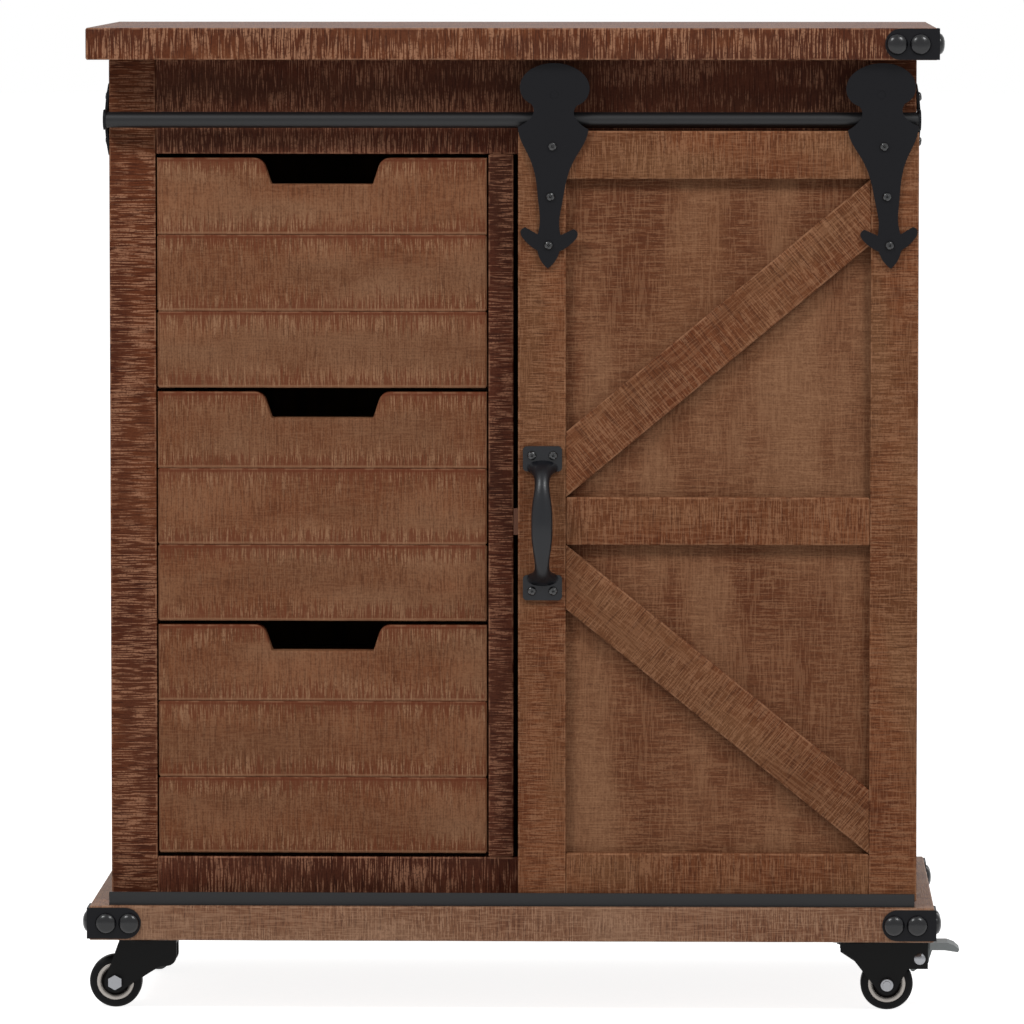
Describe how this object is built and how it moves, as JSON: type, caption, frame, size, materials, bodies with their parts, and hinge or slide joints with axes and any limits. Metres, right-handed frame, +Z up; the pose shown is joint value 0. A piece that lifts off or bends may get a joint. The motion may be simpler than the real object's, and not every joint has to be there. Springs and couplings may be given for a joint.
{
  "type": "rolling storage cabinet",
  "caption": "Low storage cabinet on castors with drawers, a shelved compartment and a braced barn-style door that slides on a round rail",
  "frame": {"origin": "On the floor under the middle of the whole object's outer box, brackets, pedals and handle included", "axes": "+X to the right, +Y to the back, +Z up; the drawers and the door face -Y"},
  "size_m": [0.6654, 0.3585, 0.747],
  "materials": {
    "dark_wood": "matt dark stain on rough-sawn softwood",
    "brown_wood": "matt brown stain on rough-sawn softwood",
    "base_wood": "matt brown stain, worn lighter at the edges",
    "inner_wood": "plain stained board",
    "black_metal": "satin black powder coat",
    "zinc_steel": "bright zinc plating",
    "tyre_rubber": "soft dark grey tyre",
    "pedal_plastic": "moulded grey"
  },
  "bodies": {
    "cabinet": {"top_board": "dark_wood", "base_board": "base_wood", "left_side_panel": "dark_wood", "right_side_panel": "dark_wood", "centre_partition": "inner_wood", "back_panel": "inner_wood", "floor_panel": "inner_wood", "compartment_shelf": "inner_wood", "left_front_stile": "dark_wood", "centre_front_stile": "dark_wood", "right_front_stile": "dark_wood", "top_front_rail": "dark_wood", "bottom_front_rail": "dark_wood", "drawer_runners": "inner_wood", "door_rail": "black_metal", "rail_brackets": "black_metal", "door_guide_channel": "black_metal", "corner_brackets": "black_metal", "corner_nails": "black_metal", "castor_plates": "black_metal", "cabinet_screws": "black_metal"},
    "door": {"door_left_stile": "brown_wood", "door_right_stile": "brown_wood", "door_top_rail": "brown_wood", "door_bottom_rail": "brown_wood", "door_middle_rail": "brown_wood", "door_panel": "brown_wood", "door_upper_brace": "brown_wood", "door_lower_brace": "brown_wood", "door_handle": "black_metal", "door_screws": "black_metal", "left_hanger_strap": "black_metal", "right_hanger_strap": "black_metal", "hanger_axles": "black_metal"},
    "left_roller": {"left_roller": "black_metal"},
    "right_roller": {"right_roller": "black_metal"},
    "drawer_1": {"drawer_1_front": "brown_wood", "drawer_1_walls": "inner_wood", "drawer_1_bottom": "inner_wood"},
    "drawer_2": {"drawer_2_front": "brown_wood", "drawer_2_walls": "inner_wood", "drawer_2_bottom": "inner_wood"},
    "drawer_3": {"drawer_3_front": "brown_wood", "drawer_3_walls": "inner_wood", "drawer_3_bottom": "inner_wood"},
    "front_left_castor_fork": {"front_left_castor_fork": "black_metal", "front_left_castor_axle": "zinc_steel"},
    "front_left_castor_wheel": {"front_left_castor_wheel": "tyre_rubber"},
    "front_right_castor_fork": {"front_right_castor_fork": "black_metal", "front_right_castor_axle": "zinc_steel"},
    "front_right_castor_wheel": {"front_right_castor_wheel": "tyre_rubber"},
    "front_right_brake_pedal": {"front_right_brake_pedal": "pedal_plastic"},
    "back_left_castor_fork": {"back_left_castor_fork": "black_metal", "back_left_castor_axle": "zinc_steel"},
    "back_left_castor_wheel": {"back_left_castor_wheel": "tyre_rubber"},
    "back_left_brake_pedal": {"back_left_brake_pedal": "pedal_plastic"},
    "back_right_castor_fork": {"back_right_castor_fork": "black_metal", "back_right_castor_axle": "zinc_steel"},
    "back_right_castor_wheel": {"back_right_castor_wheel": "tyre_rubber"}
  },
  "joints": [
    {"name": "door_slide", "type": "slide", "parent": "cabinet", "child": "door", "axis": [1, 0, 0], "range_m": [-0.298, 0]},
    {"name": "left_roller_turn", "type": "hinge", "parent": "door", "child": "left_roller", "pos_m": [0.02515, -0.14125, 0.6968], "axis": [0, 1, 0], "continuous": true},
    {"name": "right_roller_turn", "type": "hinge", "parent": "door", "child": "right_roller", "pos_m": [0.27075, -0.14125, 0.6968], "axis": [0, 1, 0], "continuous": true},
    {"name": "drawer_1_slide", "type": "slide", "parent": "cabinet", "child": "drawer_1", "axis": [0, -1, 0], "range_m": [0, 0.2]},
    {"name": "drawer_2_slide", "type": "slide", "parent": "cabinet", "child": "drawer_2", "axis": [0, -1, 0], "range_m": [0, 0.2]},
    {"name": "drawer_3_slide", "type": "slide", "parent": "cabinet", "child": "drawer_3", "axis": [0, -1, 0], "range_m": [0, 0.2]},
    {"name": "front_left_castor_swivel", "type": "hinge", "parent": "cabinet", "child": "front_left_castor_fork", "pos_m": [-0.28825, -0.11125, 0.052], "axis": [0, 0, 1], "continuous": true},
    {"name": "front_left_wheel_turn", "type": "hinge", "parent": "front_left_castor_fork", "child": "front_left_castor_wheel", "pos_m": [-0.31025, -0.11125, 0.02], "axis": [0, -1, 0], "continuous": true},
    {"name": "front_right_castor_swivel", "type": "hinge", "parent": "cabinet", "child": "front_right_castor_fork", "pos_m": [0.25575, -0.11125, 0.052], "axis": [0, 0, 1], "continuous": true},
    {"name": "front_right_wheel_turn", "type": "hinge", "parent": "front_right_castor_fork", "child": "front_right_castor_wheel", "pos_m": [0.27775, -0.11125, 0.02], "axis": [0, 1, 0], "continuous": true},
    {"name": "front_right_brake_press", "type": "hinge", "parent": "front_right_castor_fork", "child": "front_right_brake_pedal", "pos_m": [0.30275, -0.11125, 0.0396], "axis": [0, 1, 0], "range_deg": [0, 18]},
    {"name": "back_left_castor_swivel", "type": "hinge", "parent": "cabinet", "child": "back_left_castor_fork", "pos_m": [-0.28825, 0.12375, 0.052], "axis": [0, 0, 1], "continuous": true},
    {"name": "back_left_wheel_turn", "type": "hinge", "parent": "back_left_castor_fork", "child": "back_left_castor_wheel", "pos_m": [-0.29577, 0.10308, 0.02], "axis": [0.9397, -0.342, 0], "continuous": true},
    {"name": "back_left_brake_press", "type": "hinge", "parent": "back_left_castor_fork", "child": "back_left_brake_pedal", "pos_m": [-0.30433, 0.07958, 0.0396], "axis": [0.9397, -0.342, 0], "range_deg": [0, 18]},
    {"name": "back_right_castor_swivel", "type": "hinge", "parent": "cabinet", "child": "back_right_castor_fork", "pos_m": [0.27375, 0.12375, 0.052], "axis": [0, 0, 1], "continuous": true},
    {"name": "back_right_wheel_turn", "type": "hinge", "parent": "back_right_castor_fork", "child": "back_right_castor_wheel", "pos_m": [0.29575, 0.12375, 0.02], "axis": [0, 1, 0], "continuous": true}
  ],
  "couplings": [
    {"joint": "left_roller_turn", "follows": "door_slide", "rad_per_m": 76.923},
    {"joint": "right_roller_turn", "follows": "door_slide", "rad_per_m": 76.923}
  ]
}
